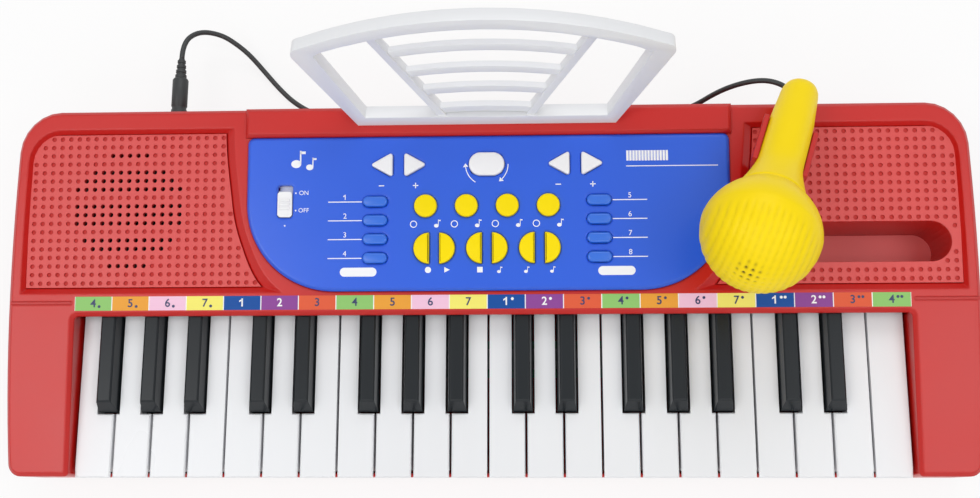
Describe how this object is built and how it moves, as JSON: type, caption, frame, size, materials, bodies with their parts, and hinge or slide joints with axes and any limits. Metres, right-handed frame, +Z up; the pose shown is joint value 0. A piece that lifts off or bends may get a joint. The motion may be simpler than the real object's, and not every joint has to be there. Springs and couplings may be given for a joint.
{
  "type": "toy electronic keyboard",
  "caption": "Toy electronic keyboard with sprung piano keys, button panel, speaker tray, hand pocket, clip-on microphone on a lead and a lift-out music stand.",
  "frame": {"origin": "on the surface it stands on, under the middle of the keyboard with its stand and microphone, without the lead", "axes": "+X along the keys to the treble end, +Y from the player to the back, +Z up"},
  "size_m": [0.56, 0.2799, 0.1478],
  "materials": {
    "case_red": "glossy moulded red plastic",
    "panel_blue": "smooth blue plastic",
    "button_blue": "smooth blue plastic",
    "button_yellow": "smooth yellow plastic",
    "button_white": "smooth white plastic",
    "key_white": "smooth white plastic",
    "key_black": "smooth black plastic",
    "stand_white": "smooth white plastic",
    "microphone_yellow": "smooth yellow plastic",
    "plug_black": "matt black plastic",
    "cord_black": "matt black sleeve",
    "socket_black": "matt black plastic",
    "rubber_black": "matt black rubber",
    "rubber_grey": "grey contact rubber",
    "speaker_dark": "dark cone and basket",
    "board_green": "green circuit board",
    "rail_steel": "plain steel rod"
  },
  "bodies": {
    "case": {"upper_case": "case_red", "lower_case": "case_red", "control_panel": "panel_blue", "speaker_grille": "case_red", "tray_panel": "case_red", "speaker": "speaker_dark", "circuit_board": "board_green", "key_contact_strip": "rubber_grey", "key_rail": "rail_steel", "battery_cover": "case_red", "rubber_feet": "rubber_black", "jack_socket": "socket_black", "microphone_cord": "cord_black", "microphone_plug": "plug_black"},
    "arrow_buttons": {"arrow_buttons": "button_white"},
    "pill_buttons": {"pill_buttons": "button_blue"},
    "round_pads": {"round_pads": "button_yellow"},
    "half_moon_buttons": {"half_moon_buttons": "button_yellow"},
    "power_switch_knob": {"power_switch_knob": "button_white"},
    "music_stand": {"music_stand": "stand_white"},
    "microphone": {"microphone_handle": "microphone_yellow", "microphone_grille": "microphone_yellow"},
    "white_key_01": {"white_key_01": "key_white"},
    "white_key_02": {"white_key_02": "key_white"},
    "white_key_03": {"white_key_03": "key_white"},
    "white_key_04": {"white_key_04": "key_white"},
    "white_key_05": {"white_key_05": "key_white"},
    "white_key_06": {"white_key_06": "key_white"},
    "white_key_07": {"white_key_07": "key_white"},
    "white_key_08": {"white_key_08": "key_white"},
    "white_key_09": {"white_key_09": "key_white"},
    "white_key_10": {"white_key_10": "key_white"},
    "white_key_11": {"white_key_11": "key_white"},
    "white_key_12": {"white_key_12": "key_white"},
    "white_key_13": {"white_key_13": "key_white"},
    "white_key_14": {"white_key_14": "key_white"},
    "white_key_15": {"white_key_15": "key_white"},
    "white_key_16": {"white_key_16": "key_white"},
    "white_key_17": {"white_key_17": "key_white"},
    "white_key_18": {"white_key_18": "key_white"},
    "white_key_19": {"white_key_19": "key_white"},
    "white_key_20": {"white_key_20": "key_white"},
    "white_key_21": {"white_key_21": "key_white"},
    "white_key_22": {"white_key_22": "key_white"},
    "black_key_01": {"black_key_01": "key_black"},
    "black_key_02": {"black_key_02": "key_black"},
    "black_key_03": {"black_key_03": "key_black"},
    "black_key_04": {"black_key_04": "key_black"},
    "black_key_05": {"black_key_05": "key_black"},
    "black_key_06": {"black_key_06": "key_black"},
    "black_key_07": {"black_key_07": "key_black"},
    "black_key_08": {"black_key_08": "key_black"},
    "black_key_09": {"black_key_09": "key_black"},
    "black_key_10": {"black_key_10": "key_black"},
    "black_key_11": {"black_key_11": "key_black"},
    "black_key_12": {"black_key_12": "key_black"},
    "black_key_13": {"black_key_13": "key_black"},
    "black_key_14": {"black_key_14": "key_black"},
    "black_key_15": {"black_key_15": "key_black"}
  },
  "joints": [
    {"name": "white_key_01_hinge", "type": "hinge", "parent": "case", "child": "white_key_01", "pos_m": [-0.231, -0.00826, 0.024], "axis": [1, 0, 0], "range_deg": [0, 3], "stiffness_Nm_per_rad": 0.3, "springref_deg": -5.73},
    {"name": "white_key_02_hinge", "type": "hinge", "parent": "case", "child": "white_key_02", "pos_m": [-0.209, -0.00826, 0.024], "axis": [1, 0, 0], "range_deg": [0, 3], "stiffness_Nm_per_rad": 0.3, "springref_deg": -5.73},
    {"name": "white_key_03_hinge", "type": "hinge", "parent": "case", "child": "white_key_03", "pos_m": [-0.187, -0.00826, 0.024], "axis": [1, 0, 0], "range_deg": [0, 3], "stiffness_Nm_per_rad": 0.3, "springref_deg": -5.73},
    {"name": "white_key_04_hinge", "type": "hinge", "parent": "case", "child": "white_key_04", "pos_m": [-0.165, -0.00826, 0.024], "axis": [1, 0, 0], "range_deg": [0, 3], "stiffness_Nm_per_rad": 0.3, "springref_deg": -5.73},
    {"name": "white_key_05_hinge", "type": "hinge", "parent": "case", "child": "white_key_05", "pos_m": [-0.143, -0.00826, 0.024], "axis": [1, 0, 0], "range_deg": [0, 3], "stiffness_Nm_per_rad": 0.3, "springref_deg": -5.73},
    {"name": "white_key_06_hinge", "type": "hinge", "parent": "case", "child": "white_key_06", "pos_m": [-0.121, -0.00826, 0.024], "axis": [1, 0, 0], "range_deg": [0, 3], "stiffness_Nm_per_rad": 0.3, "springref_deg": -5.73},
    {"name": "white_key_07_hinge", "type": "hinge", "parent": "case", "child": "white_key_07", "pos_m": [-0.099, -0.00826, 0.024], "axis": [1, 0, 0], "range_deg": [0, 3], "stiffness_Nm_per_rad": 0.3, "springref_deg": -5.73},
    {"name": "white_key_08_hinge", "type": "hinge", "parent": "case", "child": "white_key_08", "pos_m": [-0.077, -0.00826, 0.024], "axis": [1, 0, 0], "range_deg": [0, 3], "stiffness_Nm_per_rad": 0.3, "springref_deg": -5.73},
    {"name": "white_key_09_hinge", "type": "hinge", "parent": "case", "child": "white_key_09", "pos_m": [-0.055, -0.00826, 0.024], "axis": [1, 0, 0], "range_deg": [0, 3], "stiffness_Nm_per_rad": 0.3, "springref_deg": -5.73},
    {"name": "white_key_10_hinge", "type": "hinge", "parent": "case", "child": "white_key_10", "pos_m": [-0.033, -0.00826, 0.024], "axis": [1, 0, 0], "range_deg": [0, 3], "stiffness_Nm_per_rad": 0.3, "springref_deg": -5.73},
    {"name": "white_key_11_hinge", "type": "hinge", "parent": "case", "child": "white_key_11", "pos_m": [-0.011, -0.00826, 0.024], "axis": [1, 0, 0], "range_deg": [0, 3], "stiffness_Nm_per_rad": 0.3, "springref_deg": -5.73},
    {"name": "white_key_12_hinge", "type": "hinge", "parent": "case", "child": "white_key_12", "pos_m": [0.011, -0.00826, 0.024], "axis": [1, 0, 0], "range_deg": [0, 3], "stiffness_Nm_per_rad": 0.3, "springref_deg": -5.73},
    {"name": "white_key_13_hinge", "type": "hinge", "parent": "case", "child": "white_key_13", "pos_m": [0.033, -0.00826, 0.024], "axis": [1, 0, 0], "range_deg": [0, 3], "stiffness_Nm_per_rad": 0.3, "springref_deg": -5.73},
    {"name": "white_key_14_hinge", "type": "hinge", "parent": "case", "child": "white_key_14", "pos_m": [0.055, -0.00826, 0.024], "axis": [1, 0, 0], "range_deg": [0, 3], "stiffness_Nm_per_rad": 0.3, "springref_deg": -5.73},
    {"name": "white_key_15_hinge", "type": "hinge", "parent": "case", "child": "white_key_15", "pos_m": [0.077, -0.00826, 0.024], "axis": [1, 0, 0], "range_deg": [0, 3], "stiffness_Nm_per_rad": 0.3, "springref_deg": -5.73},
    {"name": "white_key_16_hinge", "type": "hinge", "parent": "case", "child": "white_key_16", "pos_m": [0.099, -0.00826, 0.024], "axis": [1, 0, 0], "range_deg": [0, 3], "stiffness_Nm_per_rad": 0.3, "springref_deg": -5.73},
    {"name": "white_key_17_hinge", "type": "hinge", "parent": "case", "child": "white_key_17", "pos_m": [0.121, -0.00826, 0.024], "axis": [1, 0, 0], "range_deg": [0, 3], "stiffness_Nm_per_rad": 0.3, "springref_deg": -5.73},
    {"name": "white_key_18_hinge", "type": "hinge", "parent": "case", "child": "white_key_18", "pos_m": [0.143, -0.00826, 0.024], "axis": [1, 0, 0], "range_deg": [0, 3], "stiffness_Nm_per_rad": 0.3, "springref_deg": -5.73},
    {"name": "white_key_19_hinge", "type": "hinge", "parent": "case", "child": "white_key_19", "pos_m": [0.165, -0.00826, 0.024], "axis": [1, 0, 0], "range_deg": [0, 3], "stiffness_Nm_per_rad": 0.3, "springref_deg": -5.73},
    {"name": "white_key_20_hinge", "type": "hinge", "parent": "case", "child": "white_key_20", "pos_m": [0.187, -0.00826, 0.024], "axis": [1, 0, 0], "range_deg": [0, 3], "stiffness_Nm_per_rad": 0.3, "springref_deg": -5.73},
    {"name": "white_key_21_hinge", "type": "hinge", "parent": "case", "child": "white_key_21", "pos_m": [0.209, -0.00826, 0.024], "axis": [1, 0, 0], "range_deg": [0, 3], "stiffness_Nm_per_rad": 0.3, "springref_deg": -5.73},
    {"name": "white_key_22_hinge", "type": "hinge", "parent": "case", "child": "white_key_22", "pos_m": [0.231, -0.00826, 0.024], "axis": [1, 0, 0], "range_deg": [0, 3], "stiffness_Nm_per_rad": 0.3, "springref_deg": -5.73},
    {"name": "black_key_01_hinge", "type": "hinge", "parent": "case", "child": "black_key_01", "pos_m": [-0.2238, -0.00826, 0.024], "axis": [1, 0, 0], "range_deg": [0, 3], "stiffness_Nm_per_rad": 0.3, "springref_deg": -5.73},
    {"name": "black_key_02_hinge", "type": "hinge", "parent": "case", "child": "black_key_02", "pos_m": [-0.198, -0.00826, 0.024], "axis": [1, 0, 0], "range_deg": [0, 3], "stiffness_Nm_per_rad": 0.3, "springref_deg": -5.73},
    {"name": "black_key_03_hinge", "type": "hinge", "parent": "case", "child": "black_key_03", "pos_m": [-0.1722, -0.00826, 0.024], "axis": [1, 0, 0], "range_deg": [0, 3], "stiffness_Nm_per_rad": 0.3, "springref_deg": -5.73},
    {"name": "black_key_04_hinge", "type": "hinge", "parent": "case", "child": "black_key_04", "pos_m": [-0.1338, -0.00826, 0.024], "axis": [1, 0, 0], "range_deg": [0, 3], "stiffness_Nm_per_rad": 0.3, "springref_deg": -5.73},
    {"name": "black_key_05_hinge", "type": "hinge", "parent": "case", "child": "black_key_05", "pos_m": [-0.1082, -0.00826, 0.024], "axis": [1, 0, 0], "range_deg": [0, 3], "stiffness_Nm_per_rad": 0.3, "springref_deg": -5.73},
    {"name": "black_key_06_hinge", "type": "hinge", "parent": "case", "child": "black_key_06", "pos_m": [-0.0698, -0.00826, 0.024], "axis": [1, 0, 0], "range_deg": [0, 3], "stiffness_Nm_per_rad": 0.3, "springref_deg": -5.73},
    {"name": "black_key_07_hinge", "type": "hinge", "parent": "case", "child": "black_key_07", "pos_m": [-0.044, -0.00826, 0.024], "axis": [1, 0, 0], "range_deg": [0, 3], "stiffness_Nm_per_rad": 0.3, "springref_deg": -5.73},
    {"name": "black_key_08_hinge", "type": "hinge", "parent": "case", "child": "black_key_08", "pos_m": [-0.0182, -0.00826, 0.024], "axis": [1, 0, 0], "range_deg": [0, 3], "stiffness_Nm_per_rad": 0.3, "springref_deg": -5.73},
    {"name": "black_key_09_hinge", "type": "hinge", "parent": "case", "child": "black_key_09", "pos_m": [0.0202, -0.00826, 0.024], "axis": [1, 0, 0], "range_deg": [0, 3], "stiffness_Nm_per_rad": 0.3, "springref_deg": -5.73},
    {"name": "black_key_10_hinge", "type": "hinge", "parent": "case", "child": "black_key_10", "pos_m": [0.0458, -0.00826, 0.024], "axis": [1, 0, 0], "range_deg": [0, 3], "stiffness_Nm_per_rad": 0.3, "springref_deg": -5.73},
    {"name": "black_key_11_hinge", "type": "hinge", "parent": "case", "child": "black_key_11", "pos_m": [0.0842, -0.00826, 0.024], "axis": [1, 0, 0], "range_deg": [0, 3], "stiffness_Nm_per_rad": 0.3, "springref_deg": -5.73},
    {"name": "black_key_12_hinge", "type": "hinge", "parent": "case", "child": "black_key_12", "pos_m": [0.11, -0.00826, 0.024], "axis": [1, 0, 0], "range_deg": [0, 3], "stiffness_Nm_per_rad": 0.3, "springref_deg": -5.73},
    {"name": "black_key_13_hinge", "type": "hinge", "parent": "case", "child": "black_key_13", "pos_m": [0.1358, -0.00826, 0.024], "axis": [1, 0, 0], "range_deg": [0, 3], "stiffness_Nm_per_rad": 0.3, "springref_deg": -5.73},
    {"name": "black_key_14_hinge", "type": "hinge", "parent": "case", "child": "black_key_14", "pos_m": [0.1742, -0.00826, 0.024], "axis": [1, 0, 0], "range_deg": [0, 3], "stiffness_Nm_per_rad": 0.3, "springref_deg": -5.73},
    {"name": "black_key_15_hinge", "type": "hinge", "parent": "case", "child": "black_key_15", "pos_m": [0.1998, -0.00826, 0.024], "axis": [1, 0, 0], "range_deg": [0, 3], "stiffness_Nm_per_rad": 0.3, "springref_deg": -5.73},
    {"name": "arrow_buttons_press", "type": "slide", "parent": "case", "child": "arrow_buttons", "axis": [0, 0.0872, -0.9962], "range_m": [0, 0.0012], "stiffness_N_per_m": 800, "springref_m": -0.002},
    {"name": "pill_buttons_press", "type": "slide", "parent": "case", "child": "pill_buttons", "axis": [0, 0.0872, -0.9962], "range_m": [0, 0.0012], "stiffness_N_per_m": 800, "springref_m": -0.002},
    {"name": "round_pads_press", "type": "slide", "parent": "case", "child": "round_pads", "axis": [0, 0.0872, -0.9962], "range_m": [0, 0.0012], "stiffness_N_per_m": 800, "springref_m": -0.002},
    {"name": "half_moon_buttons_press", "type": "slide", "parent": "case", "child": "half_moon_buttons", "axis": [0, 0.0872, -0.9962], "range_m": [0, 0.0012], "stiffness_N_per_m": 800, "springref_m": -0.002},
    {"name": "power_switch_slide", "type": "slide", "parent": "case", "child": "power_switch_knob", "axis": [0, 0.9962, 0.0872], "range_m": [0, 0.0037]},
    {"name": "music_stand_lift", "type": "slide", "parent": "case", "child": "music_stand", "axis": [0, 0.342, 0.9397], "range_m": [0, 0.014]},
    {"name": "microphone_lift", "type": "slide", "parent": "case", "child": "microphone", "axis": [0.1739, 0.3678, 0.9135], "range_m": [0, 0.03]}
  ]
}
